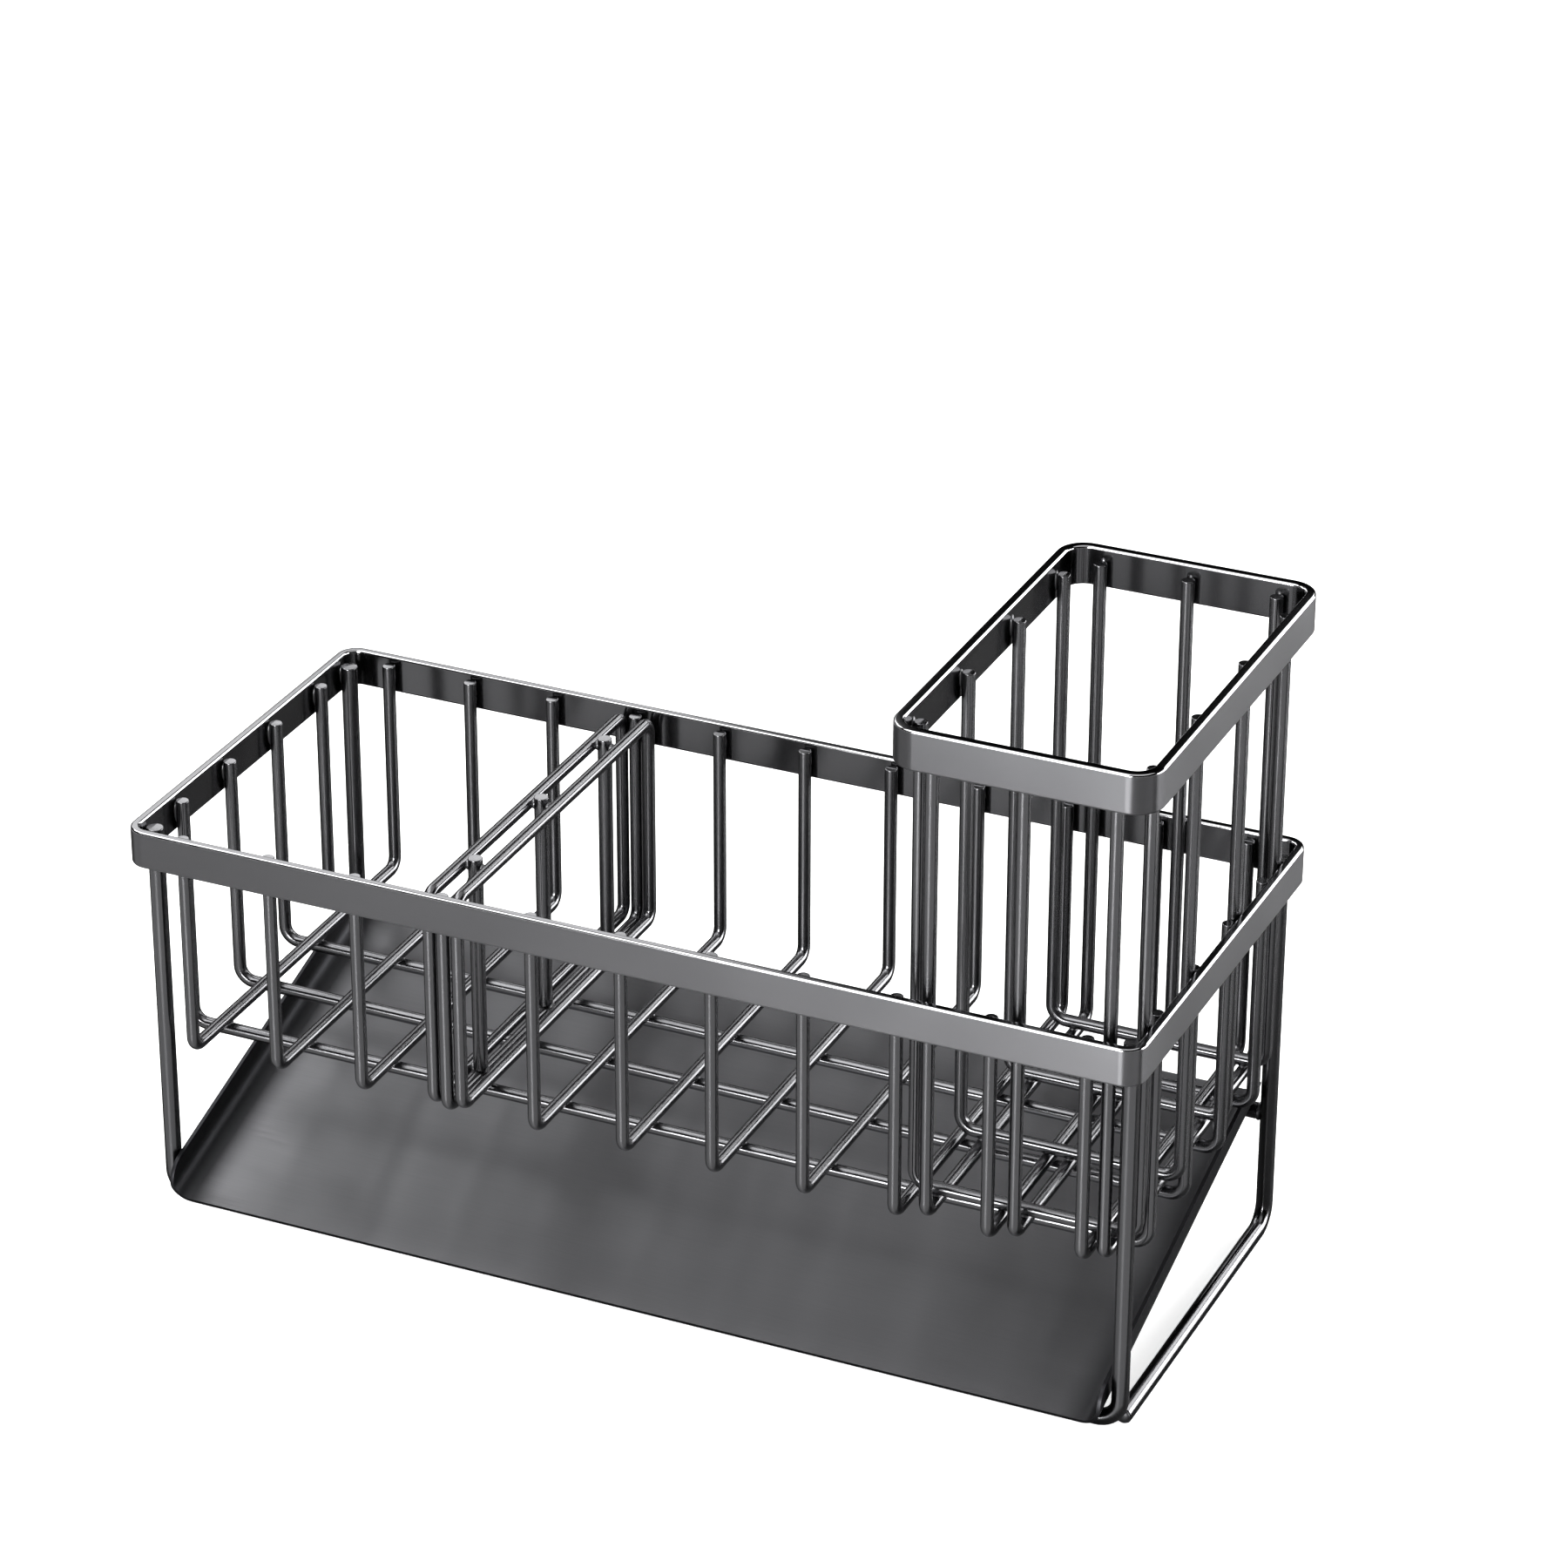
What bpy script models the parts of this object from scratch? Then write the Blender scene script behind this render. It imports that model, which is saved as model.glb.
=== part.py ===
"""Sink caddy of bent and welded steel wire, with a drip tray, a divider and a brush basket.

Metres, Z up. The origin is on the ground under the middle of the main basket. X runs along the
caddy's length to its right end, and Y from the front to the back.
"""
import math

import bmesh
import bpy

# Rim of the main basket, a flat strip bent to a ring
RIM_LENGTH = 0.2500
RIM_DEPTH = 0.1084
RIM_TOP = 0.1008
RIM_HEIGHT = 0.0093
RIM_INNER_CORNER = 0.0029
RIM_STRIP = 0.0022
STRIP_EDGE = 0.0006

# Wires of the baskets and of the frame, and the gap left where two pieces are welded or rest
WIRE = 0.0031
FRAME_WIRE = 0.0040
SEAT_GAP = 0.00025
WIRE_DROP = 0.0014

# Main basket: ribs run from the front to the back, on top of the cross wires
RIB_COUNT = 11
RIB_END_SPACE = 0.0096
RIB_BEND = 0.0030
CROSS_COUNT = 4
CROSS_END_SPACE = 0.01675
CROSS_BEND = 0.0038
CROSS_LEVEL = 0.0408

# Frame: four legs, three foot rails and a raised rail at the back
LEG_SETBACK = 0.0073
LEG_DROP = 0.0020
FRAME_BEND = 0.0055
REAR_RAIL_LEVEL = 0.0312

# Drip tray, a bent sheet that rests on the front and rear rails
TRAY_SHEET = 0.0009
TRAY_WALL = 0.0086
TRAY_BEND = 0.0050
TRAY_CORNER = 0.0060
TRAY_LIP = 0.0047
TRAY_TAIL = 0.0030
TRAY_SIDE_PLAY = 0.0004
TRAY_HEADROOM = 0.0004

# Divider: two wire loops that straddle one rib, with posts between them
DIVIDER_RIB = 4
DIVIDER_END_PLAY = 0.0005
DIVIDER_DROP = 0.0005
DIVIDER_RISE = 0.0012
DIVIDER_BEND = 0.0028
POST_COUNT = 3
POST_WIRE = 0.0035
POST_END_SPACE = 0.01645
POST_RISE = 0.0007

# Brush basket, in the right end of the main basket
BRUSH_WIDTH = 0.0617
BRUSH_DEPTH = 0.1060
BRUSH_TOP = 0.1651
BRUSH_RIM_HEIGHT = 0.0096
BRUSH_INNER_CORNER = 0.0043
BRUSH_STRIP = 0.0025
BRUSH_OVERHANG = 0.0003
BRUSH_WIRE_DROP = 0.0029
BRUSH_RIB_COUNT = 3
BRUSH_RIB_END_SPACE = 0.0054
BRUSH_CROSS_COUNT = 4
BRUSH_CROSS_FRONT_SPACE = 0.0063
BRUSH_CROSS_BACK_SPACE = 0.0087
BRUSH_WIRE_PLAY = 0.00035

# Facets of the bends, of the strips' corners and of the wires, and the edges that stay sharp
BEND_STEPS = 5
CORNER_STEPS = 6
EDGE_STEPS = 2
WALL_STEPS = 7
WIRE_FACETS = 3
FRAME_FACETS = 4
SHARP_EDGE = math.radians(50)

# Finishes: linear colour, roughness and metallic value
POLISHED_GUNMETAL = ((0.105, 0.105, 0.108), 0.24, 1.0)
SATIN_GUNMETAL = ((0.090, 0.090, 0.093), 0.42, 1.0)

# Places that follow from the sizes above
WIRE_INSET = RIM_STRIP + SEAT_GAP + WIRE / 2
BRUSH_WIRE_INSET = BRUSH_STRIP + SEAT_GAP + WIRE / 2
RIB_REACH = RIM_DEPTH / 2 - WIRE_INSET
CROSS_REACH = RIM_LENGTH / 2 - WIRE_INSET
RIB_LEVEL = CROSS_LEVEL + WIRE + SEAT_GAP
LEG_REACH_X = RIM_LENGTH / 2 - RIM_STRIP - SEAT_GAP - FRAME_WIRE / 2
LEG_REACH_Y = RIM_DEPTH / 2 - LEG_SETBACK
FOOT_LEVEL = FRAME_WIRE / 2
LEG_TOP = RIM_TOP - LEG_DROP
WIRE_TOP = RIM_TOP - WIRE_DROP


def clear_scene():
    """Remove whatever the file holds."""
    for old in list(bpy.data.objects):
        bpy.data.objects.remove(old, do_unlink=True)


def finish(name, values):
    """Make one metal material for one piece."""
    colour, roughness, metallic = values
    material = bpy.data.materials.new(name + "_finish")
    material.use_nodes = True
    shader = material.node_tree.nodes["Principled BSDF"]
    shader.inputs["Base Color"].default_value = (*colour, 1.0)
    shader.inputs["Roughness"].default_value = roughness
    shader.inputs["Metallic"].default_value = metallic
    return material


def add(name, data, values, location=(0, 0, 0), parent=None):
    """Put a mesh or curve in the scene as a named piece."""
    piece = bpy.data.objects.new(name, data)
    data.materials.append(finish(name, values))
    bpy.context.scene.collection.objects.link(piece)
    piece.location = location
    piece.parent = parent
    return piece


def lift_point(name, location):
    """Make the empty that carries the pieces of one loose group."""
    empty = bpy.data.objects.new(name, None)
    bpy.context.scene.collection.objects.link(empty)
    empty.location = location
    return empty


def spaced(count, reach):
    """Even places from minus reach to plus reach."""
    return [reach * (2 * index / (count - 1) - 1) for index in range(count)]


def arc(centre, radius, start, end, steps):
    """Points on an arc, with its angles in quarter turns."""
    points = []
    for step in range(steps + 1):
        angle = math.pi / 2 * (start + (end - start) * step / steps)
        points.append((centre[0] + radius * math.cos(angle), centre[1] + radius * math.sin(angle)))
    return points


def u_path(reach, top, floor, bend):
    """Centre line of a U-shaped wire: across and height."""
    left = arc((bend - reach, floor + bend), bend, 2, 3, BEND_STEPS)
    right = arc((reach - bend, floor + bend), bend, 3, 4, BEND_STEPS)
    return [(-reach, top)] + left + right + [(reach, top)]


def loop_path(reach, top, floor, bend):
    """Centre line of a closed wire loop with four round corners."""
    points = []
    corners = ((bend - reach, floor + bend), (reach - bend, floor + bend),
               (reach - bend, top - bend), (bend - reach, top - bend))
    for quarter, centre in enumerate(corners):
        points += arc(centre, bend, quarter + 2, quarter + 3, BEND_STEPS)
    return points


def along_x(points):
    """Stand a path up in the plane of the length."""
    return [(across, 0, height) for across, height in points]


def along_y(points):
    """Stand a path up in the plane of the depth."""
    return [(0, across, height) for across, height in points]


def wire(name, points, diameter, values, location=(0, 0, 0), parent=None, closed=False):
    """Make one bent wire along a path."""
    curve = bpy.data.curves.new(name, "CURVE")
    curve.dimensions = "3D"
    curve.bevel_depth = diameter / 2
    curve.bevel_resolution = FRAME_FACETS if diameter > WIRE else WIRE_FACETS
    curve.use_fill_caps = not closed
    spline = curve.splines.new("POLY")
    spline.points.add(len(points) - 1)
    for point, place in zip(spline.points, points):
        point.co = (*place, 1)
    spline.use_cyclic_u = closed
    spline.use_smooth = True
    return add(name, curve, values, location, parent)


def strip_section(strip, height):
    """Section of a strip: inset from its outer face and height over its lower edge."""
    points = []
    corners = ((STRIP_EDGE, STRIP_EDGE), (strip - STRIP_EDGE, STRIP_EDGE),
               (strip - STRIP_EDGE, height - STRIP_EDGE), (STRIP_EDGE, height - STRIP_EDGE))
    for quarter, centre in enumerate(corners):
        points += arc(centre, STRIP_EDGE, quarter + 2, quarter + 3, EDGE_STEPS)
    return points


def ring_outline(length, depth, outer_corner, inset):
    """Outline of a ring with round corners, some way in from its outer face."""
    radius = outer_corner - inset
    across = length / 2 - outer_corner
    along = depth / 2 - outer_corner
    corners = ((across, along), (-across, along), (-across, -along), (across, -along))
    points = []
    for quarter, centre in enumerate(corners):
        points += arc(centre, radius, quarter, quarter + 1, CORNER_STEPS)
    return points


def strip_ring(name, length, depth, top, height, strip, inner_corner, parent=None):
    """Make a rim: a strip's section swept round a ring."""
    mesh = bpy.data.meshes.new(name)
    shape = bmesh.new()
    loops = []
    for inset, level in strip_section(strip, height):
        outline = ring_outline(length, depth, inner_corner + strip, inset)
        loops.append([shape.verts.new((x, y, top - height + level)) for x, y in outline])
    for index, lower in enumerate(loops):
        upper = loops[(index + 1) % len(loops)]
        for side in range(len(lower)):
            after = (side + 1) % len(lower)
            shape.faces.new((lower[side], lower[after], upper[after], upper[side]))
    bmesh.ops.recalc_face_normals(shape, faces=shape.faces[:])
    shape.to_mesh(mesh)
    shape.free()
    mesh.shade_smooth()
    mesh.set_sharp_from_angle(angle=SHARP_EDGE)
    return add(name, mesh, POLISHED_GUNMETAL, parent=parent)


def main_basket():
    """Rim, ribs and cross wires of the main basket."""
    strip_ring("rim_band", RIM_LENGTH, RIM_DEPTH, RIM_TOP, RIM_HEIGHT, RIM_STRIP, RIM_INNER_CORNER)
    rib = along_y(u_path(RIB_REACH, WIRE_TOP, RIB_LEVEL, RIB_BEND))
    for number, x in enumerate(spaced(RIB_COUNT, CROSS_REACH - RIB_END_SPACE), 1):
        wire(f"basket_rib_{number:02d}", rib, WIRE, POLISHED_GUNMETAL, (x, 0, 0))
    cross = along_x(u_path(CROSS_REACH, WIRE_TOP, CROSS_LEVEL, CROSS_BEND))
    for number, y in enumerate(spaced(CROSS_COUNT, RIB_REACH - CROSS_END_SPACE), 1):
        wire(f"basket_cross_wire_{number}", cross, WIRE, POLISHED_GUNMETAL, (0, y, 0))


def frame():
    """Legs, foot rails and the raised rail that carries the tray."""
    front = along_x(u_path(LEG_REACH_X, LEG_TOP, FOOT_LEVEL, FRAME_BEND))
    wire("front_frame", front, FRAME_WIRE, POLISHED_GUNMETAL, (0, -LEG_REACH_Y, 0))
    front_end = -LEG_REACH_Y + FRAME_WIRE / 2 + SEAT_GAP
    heel = (LEG_REACH_Y - FRAME_BEND, FOOT_LEVEL + FRAME_BEND)
    side = [(LEG_REACH_Y, LEG_TOP)] + arc(heel, FRAME_BEND, 0, -1, BEND_STEPS)
    side.append((front_end, FOOT_LEVEL))
    for name, x in (("side_frame_left", -LEG_REACH_X), ("side_frame_right", LEG_REACH_X)):
        wire(name, along_y(side), FRAME_WIRE, POLISHED_GUNMETAL, (x, 0, 0))
    rail_end = LEG_REACH_X - FRAME_WIRE / 2 - SEAT_GAP
    rail = along_x([(-rail_end, 0), (rail_end, 0)])
    wire("rear_rail", rail, FRAME_WIRE, POLISHED_GUNMETAL, (0, LEG_REACH_Y, REAR_RAIL_LEVEL))


def tray_section():
    """Right half of the tray's bent section: outer and inner points, from the middle out."""
    half = LEG_REACH_X - FRAME_WIRE / 2 - TRAY_SIDE_PLAY
    centre = (half - TRAY_BEND, TRAY_BEND)
    outer = [(0, 0)] + arc(centre, TRAY_BEND, 3, 4, BEND_STEPS)
    inner = [(0, TRAY_SHEET)] + arc(centre, TRAY_BEND - TRAY_SHEET, 3, 4, BEND_STEPS)
    for step in range(1, WALL_STEPS + 1):
        height = TRAY_BEND + (TRAY_WALL - TRAY_BEND) * math.sin(math.pi / 2 * step / WALL_STEPS)
        outer.append((half, height))
        inner.append((half - TRAY_SHEET, height))
    return outer, inner


def tray_front(height):
    """Front edge of the sheet: its walls' upper corners are round."""
    rise = max(0, height - (TRAY_WALL - TRAY_CORNER))
    return TRAY_CORNER - math.sqrt(TRAY_CORNER ** 2 - rise ** 2) - TRAY_LIP


def drip_tray():
    """Sheet tray, made flat in its own frame and laid on the front and rear rails."""
    slope = math.atan2(REAR_RAIL_LEVEL - FOOT_LEVEL, 2 * LEG_REACH_Y)
    seat = FRAME_WIRE / 2 + SEAT_GAP
    place = (0, -LEG_REACH_Y - seat * math.sin(slope), FOOT_LEVEL + seat * math.cos(slope))
    tail = 2 * LEG_REACH_Y / math.cos(slope) + TRAY_TAIL
    ceiling = CROSS_LEVEL - WIRE / 2 - TRAY_HEADROOM - place[2]

    mesh = bpy.data.meshes.new("drip_tray")
    shape = bmesh.new()
    outer, inner = tray_section()
    sides = []
    for points in (outer, inner):
        mirrored = [(-x, height) for x, height in reversed(points[1:])]
        rows = []
        for (x, height), (_, level) in zip(mirrored + points, list(reversed(outer[1:])) + outer):
            back = min(tail, (ceiling - level * math.cos(slope)) / math.sin(slope))
            front = tray_front(level)
            rows.append((shape.verts.new((x, front, height)), shape.verts.new((x, back, height))))
        sides.append(rows)
    under, over = sides
    for index in range(len(under) - 1):
        a, b = under[index], under[index + 1]
        c, d = over[index], over[index + 1]
        shape.faces.new((a[0], a[1], b[1], b[0]))
        shape.faces.new((c[0], d[0], d[1], c[1]))
        shape.faces.new((a[0], b[0], d[0], c[0]))
        shape.faces.new((a[1], c[1], d[1], b[1]))
    for a, c in ((under[0], over[0]), (under[-1], over[-1])):
        shape.faces.new((a[0], a[1], c[1], c[0]))
    bmesh.ops.recalc_face_normals(shape, faces=shape.faces[:])
    shape.to_mesh(mesh)
    shape.free()
    mesh.shade_smooth()
    mesh.set_sharp_from_angle(angle=SHARP_EDGE)
    tray = add("drip_tray", mesh, SATIN_GUNMETAL, place)
    tray.rotation_euler.x = slope


def divider():
    """Two loops that straddle one rib, and the posts that stand between them on that rib."""
    rib_x = spaced(RIB_COUNT, CROSS_REACH - RIB_END_SPACE)[DIVIDER_RIB - 1]
    group = lift_point("divider_lift", (rib_x, 0, 0))
    reach = RIM_DEPTH / 2 - RIM_STRIP - DIVIDER_END_PLAY - WIRE / 2
    top = RIM_TOP - DIVIDER_DROP
    loop = along_y(loop_path(reach, top - WIRE / 2, RIB_LEVEL + DIVIDER_RISE, DIVIDER_BEND))
    offset = POST_WIRE / 2 + SEAT_GAP + WIRE / 2
    for name, x in (("divider_loop_left", -offset), ("divider_loop_right", offset)):
        wire(name, loop, WIRE, POLISHED_GUNMETAL, (x, 0, 0), group, closed=True)
    post = [(0, 0, RIB_LEVEL + WIRE / 2 + SEAT_GAP), (0, 0, top + POST_RISE)]
    for number, y in enumerate(spaced(POST_COUNT, reach - POST_END_SPACE), 1):
        wire(f"divider_post_{number}", post, POST_WIRE, POLISHED_GUNMETAL, (0, y, 0), group)


def between(count, first, last):
    """Even places from the first to the last."""
    return [first + (last - first) * index / (count - 1) for index in range(count)]


def beside(place, wires):
    """The place of a loose wire, moved clear of a fixed wire that is too near to it."""
    room = WIRE + BRUSH_WIRE_PLAY
    for fixed in wires:
        if abs(place - fixed) < room:
            return fixed + math.copysign(room, place - fixed)
    return place


def brush_basket():
    """Tall basket whose ribs stand on the main cross wires, between the main ribs."""
    middle_x = (RIM_LENGTH - BRUSH_WIDTH) / 2 + BRUSH_OVERHANG
    middle_y = (RIM_DEPTH - BRUSH_DEPTH) / 2
    group = lift_point("brush_basket_lift", (middle_x, middle_y, 0))
    strip_ring("brush_rim_band", BRUSH_WIDTH, BRUSH_DEPTH, BRUSH_TOP, BRUSH_RIM_HEIGHT,
               BRUSH_STRIP, BRUSH_INNER_CORNER, group)
    top = BRUSH_TOP - BRUSH_WIRE_DROP
    reach_x = BRUSH_WIDTH / 2 - BRUSH_WIRE_INSET
    reach_y = BRUSH_DEPTH / 2 - BRUSH_WIRE_INSET
    rib = along_y(u_path(reach_y, top, RIB_LEVEL, RIB_BEND))
    main_ribs = spaced(RIB_COUNT, CROSS_REACH - RIB_END_SPACE)
    for number, x in enumerate(spaced(BRUSH_RIB_COUNT, reach_x - BRUSH_RIB_END_SPACE), 1):
        place = (beside(middle_x + x, main_ribs) - middle_x, 0, 0)
        wire(f"brush_rib_{number}", rib, WIRE, POLISHED_GUNMETAL, place, group)
    cross = along_x(u_path(reach_x, top, RIB_LEVEL + WIRE + SEAT_GAP, CROSS_BEND))
    main_cross_wires = spaced(CROSS_COUNT, RIB_REACH - CROSS_END_SPACE)
    first = BRUSH_CROSS_FRONT_SPACE - reach_y
    last = reach_y - BRUSH_CROSS_BACK_SPACE
    for number, y in enumerate(between(BRUSH_CROSS_COUNT, first, last), 1):
        place = (0, beside(middle_y + y, main_cross_wires) - middle_y, 0)
        wire(f"brush_cross_wire_{number}", cross, WIRE, POLISHED_GUNMETAL, place, group)


clear_scene()
main_basket()
frame()
drip_tray()
divider()
brush_basket()
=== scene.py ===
"""Looks of a sink caddy of bent and welded steel wire with a dark gunmetal coat.

Metres, Z up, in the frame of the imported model. The pieces come in the order in which the caddy is
put together: rim, ribs, cross wires, frame, welds, drip tray, divider and brush basket. The floor,
the lamps and the camera come last.
"""
import math

import bmesh
import bpy
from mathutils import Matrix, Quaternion, Vector


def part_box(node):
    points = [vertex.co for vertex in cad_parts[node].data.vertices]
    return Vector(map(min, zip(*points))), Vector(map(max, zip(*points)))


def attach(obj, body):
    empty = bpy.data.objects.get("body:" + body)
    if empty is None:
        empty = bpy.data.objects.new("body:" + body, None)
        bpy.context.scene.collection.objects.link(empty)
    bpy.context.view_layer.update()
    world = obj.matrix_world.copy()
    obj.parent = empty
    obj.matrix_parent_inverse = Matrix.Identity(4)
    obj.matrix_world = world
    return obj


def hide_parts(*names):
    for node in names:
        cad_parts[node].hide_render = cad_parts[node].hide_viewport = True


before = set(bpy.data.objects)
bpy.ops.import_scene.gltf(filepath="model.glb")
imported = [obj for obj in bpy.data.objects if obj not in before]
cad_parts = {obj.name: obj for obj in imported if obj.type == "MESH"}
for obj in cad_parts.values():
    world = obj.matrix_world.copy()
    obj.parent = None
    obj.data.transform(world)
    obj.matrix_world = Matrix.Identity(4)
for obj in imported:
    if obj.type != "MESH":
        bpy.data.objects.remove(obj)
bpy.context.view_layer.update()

# Rim of the main basket
# A flat stainless strip with rounded edges, rolled to a ring and butt-welded. Its outer face is
# linished along its length, so light smears across it. Its top edge and inner face are polished.
MM = 0.001
RIM_STRIP = 2.2 * MM
RIM_INNER_CORNER = 2.9 * MM
STRIP_EDGE = 0.6 * MM
STRIP_CORNER_FACETS = 12
STRIP_EDGE_FACETS = 5
CUT_EDGE_FACETS = 3
SHARP_ANGLE = math.radians(60)
FACE_WEIGHT = 80
GUNMETAL = "6e6e70"
GUNMETAL_DEEP = "656567"
# A painted highlight: the lighter colour of the strip's rounded top edge where it faces up
EDGE_HIGHLIGHT_PAINT = "b4b4b6"
EDGE_POLISH = 0.12
INNER_POLISH = 0.14
# How far a normal points up, from the outer face onto the rounded edge and on to the flat top
EDGE_UP = (0.1, 0.4)
TOP_UP = (0.9, 0.99)
# From near the middle of the strip's thickness to its inner face
INNER_SIDE = (-0.4 * MM, -1.0 * MM)
# Between these lie most values of a noise, for the fine lines and for the soft clouds
LINE_RANGE = (0.3, 0.7)
CLOUD_RANGE = (0.35, 0.65)
LINE_DETAIL = 3.0
CLOUD_DETAIL = 2.0
# Keeps the smear's direction defined on a cut end, which faces along the stock
TANGENT_NUDGE = (0.002, 0.001, 0.0)
# The real lines of a belt or a polishing wheel are about 0.05 mm wide, too fine to show, so each
# grain is drawn as coarse as it needs to show
LINISHED = {
    "roughness": (0.28, 0.30), "streaks": 0.005, "smear": 0.9, "smear_turn": 0.25,
    "grain": (12 * MM, 0.15 * MM), "relief": 0.0003 * MM, "cloud": 40 * MM}


def linear(code):
    """The linear colour of an sRGB hex code."""
    channels = [int(code[start:start + 2], 16) / 255 for start in (0, 2, 4)]
    return (*(c / 12.92 if c <= 0.04045 else ((c + 0.055) / 1.055) ** 2.4 for c in channels), 1.0)


def put(tree, kind, values=None, **settings):
    """Add a node with its settings, and with a value or a link for each input that is given."""
    node = tree.nodes.new(kind)
    for name, value in settings.items():
        setattr(node, name, value)
    for key, value in (values or {}).items():
        if isinstance(value, bpy.types.NodeSocket):
            tree.links.new(value, node.inputs[key])
        else:
            node.inputs[key].default_value = value
    return node


def new_tree(name, sizes):
    """Start a tree of geometry nodes with a named input for each size."""
    tree = bpy.data.node_groups.new(name, "GeometryNodeTree")
    tree.interface.new_socket("Geometry", in_out="INPUT", socket_type="NodeSocketGeometry")
    for size, kind in sizes.items():
        tree.interface.new_socket(size, in_out="INPUT", socket_type="NodeSocket" + kind)
    tree.interface.new_socket("Geometry", in_out="OUTPUT", socket_type="NodeSocketGeometry")
    return tree, tree.nodes.new("NodeGroupInput").outputs


def finish_tree(tree, given, shape):
    """End a tree with real geometry in its finish."""
    real = put(tree, "GeometryNodeRealizeInstances", {"Geometry": shape})
    coated = put(tree, "GeometryNodeSetMaterial", {
        "Geometry": real.outputs[0], "Material": given["Finish"]})
    put(tree, "NodeGroupOutput", {"Geometry": coated.outputs[0]})
    return tree


def sweep(tree, given, path, profile):
    """Sweep a profile along a path, and keep where each point lies on the straight stock."""
    kept_path = put(tree, "GeometryNodeCaptureAttribute", {"Geometry": path})
    kept_path.capture_items.new("FLOAT", "Length")
    kept_path.capture_items.new("VECTOR", "Axis")
    tree.links.new(put(tree, "GeometryNodeSplineParameter").outputs["Length"], kept_path.inputs[1])
    tree.links.new(put(tree, "GeometryNodeInputTangent").outputs[0], kept_path.inputs[2])
    kept_profile = put(tree, "GeometryNodeCaptureAttribute", {"Geometry": profile})
    kept_profile.capture_items.new("VECTOR", "Section")
    tree.links.new(put(tree, "GeometryNodeInputPosition").outputs[0], kept_profile.inputs[1])
    body = put(tree, "GeometryNodeCurveToMesh", {
        "Curve": kept_path.outputs[0], "Profile Curve": kept_profile.outputs[0], "Fill Caps": True})
    section = put(tree, "ShaderNodeSeparateXYZ", {0: kept_profile.outputs[1]})
    stock = put(tree, "ShaderNodeCombineXYZ", {
        0: kept_path.outputs[1], 1: section.outputs[0], 2: section.outputs[1]})
    placed = put(tree, "GeometryNodeStoreNamedAttribute", {
        "Geometry": body.outputs[0], "Name": "stock", "Value": stock.outputs[0]},
        data_type="FLOAT_VECTOR")
    aimed = put(tree, "GeometryNodeStoreNamedAttribute", {
        "Geometry": placed.outputs[0], "Name": "axis", "Value": kept_path.outputs[2]},
        data_type="FLOAT_VECTOR")
    smooth = put(tree, "GeometryNodeSetShadeSmooth", {"Geometry": aimed.outputs[0]})
    return finish_tree(tree, given, smooth.outputs[0])


def rolled_strip():
    """A tree that rolls a strip with rounded edges to a ring with round corners."""
    tree, given = new_tree("rolled_strip", {
        "Strip Height": "Float", "Strip Thickness": "Float", "Corner Radius": "Float",
        "Edge Radius": "Float", "Finish": "Material"})
    ring = put(tree, "GeometryNodeMeshToCurve", {"Mesh": given["Geometry"]})
    rounded = put(tree, "GeometryNodeFilletCurve", {
        "Curve": ring.outputs[0], "Count": STRIP_CORNER_FACETS, "Radius": given["Corner Radius"]},
        mode="POLY")
    upright = put(tree, "GeometryNodeSetCurveNormal", {"Curve": rounded.outputs[0]}, mode="Z_UP")
    strip = put(tree, "GeometryNodeCurvePrimitiveQuadrilateral", {
        "Width": given["Strip Thickness"], "Height": given["Strip Height"]})
    milled = put(tree, "GeometryNodeFilletCurve", {
        "Curve": strip.outputs[0], "Count": STRIP_EDGE_FACETS, "Radius": given["Edge Radius"]},
        mode="POLY")
    return sweep(tree, given, upright.outputs[0], milled.outputs[0])


def add_object(name, data):
    """Put a mesh, a lamp or a camera into the scene."""
    thing = bpy.data.objects.new(name, data)
    bpy.context.scene.collection.objects.link(thing)
    return thing


def bare_paths(name, paths, closed=False):
    """A mesh of bare edges that a tree follows, one run of edges for each path."""
    points = []
    edges = []
    for path in paths:
        first = len(points)
        points += path
        edges += [(index, index + 1) for index in range(first, len(points) - 1)]
        if closed:
            edges.append((len(points) - 1, first))
    mesh = bpy.data.meshes.new(name)
    mesh.from_pydata(points, edges, [])
    return mesh


def make_plain(piece, cut_edge, face_weight):
    """Break the sharp edges, even out the shading, and keep the result as a plain mesh."""
    if cut_edge:
        broken = piece.modifiers.new("broken_edges", "BEVEL")
        broken.width = cut_edge
        broken.segments = CUT_EDGE_FACETS
        broken.limit_method = "ANGLE"
        broken.angle_limit = SHARP_ANGLE
    even = piece.modifiers.new("even_shading", "WEIGHTED_NORMAL")
    even.weight = face_weight
    view = bpy.context.evaluated_depsgraph_get()
    made = bpy.data.meshes.new_from_object(piece.evaluated_get(view))
    piece.modifiers.clear()
    piece.data = made


def grow(name, start, tree, sizes, cut_edge=0.0):
    """Run a tree on bare edges or points, and keep the result as a plain mesh."""
    piece = add_object(name, start)
    maker = piece.modifiers.new("maker", "NODES")
    maker.node_group = tree
    for item in tree.interface.items_tree:
        if item.name in sizes:
            maker[item.identifier] = sizes[item.name]
    make_plain(piece, cut_edge, FACE_WEIGHT)
    return piece


def new_finish(name):
    """A new material, its node tree and its shader."""
    material = bpy.data.materials.new(name)
    material.use_nodes = True
    return material, material.node_tree, material.node_tree.nodes["Principled BSDF"]


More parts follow.
